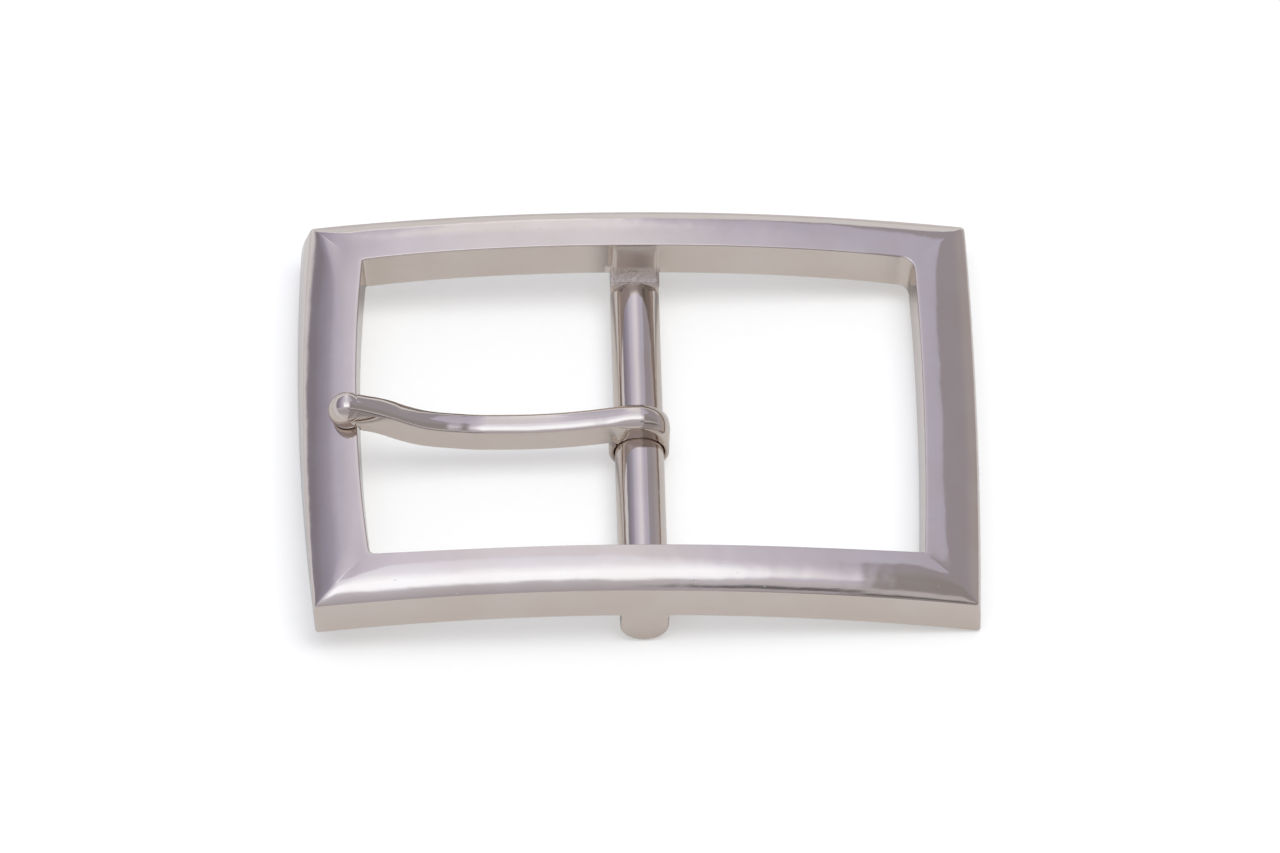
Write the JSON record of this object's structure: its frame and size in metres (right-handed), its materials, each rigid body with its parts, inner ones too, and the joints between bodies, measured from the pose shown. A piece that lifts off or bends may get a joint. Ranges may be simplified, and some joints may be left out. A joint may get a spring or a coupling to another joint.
{
  "type": "belt buckle",
  "caption": "Arched centre-bar dress belt buckle with a bevelled rectangular frame, a fixed bar behind it and a hinged ball-tipped prong.",
  "frame": {"origin": "middle of the centre bar's axis", "axes": "+X along the belt, away from the prong's tip; +Y along the bar; +Z out of the buckle's front face"},
  "size_m": [0.0692, 0.047, 0.0105],
  "materials": {
    "frame_plating": "polished",
    "bar_plating": "polished",
    "prong_plating": "polished"
  },
  "bodies": {
    "frame": {"frame": "frame_plating", "centre_bar": "bar_plating"},
    "prong": {"prong": "prong_plating"}
  },
  "joints": [
    {"name": "prong_hinge", "type": "hinge", "parent": "frame", "child": "prong", "pos_m": [0, -0.001, 0], "axis": [0, 1, 0], "range_deg": [0, 155]}
  ]
}
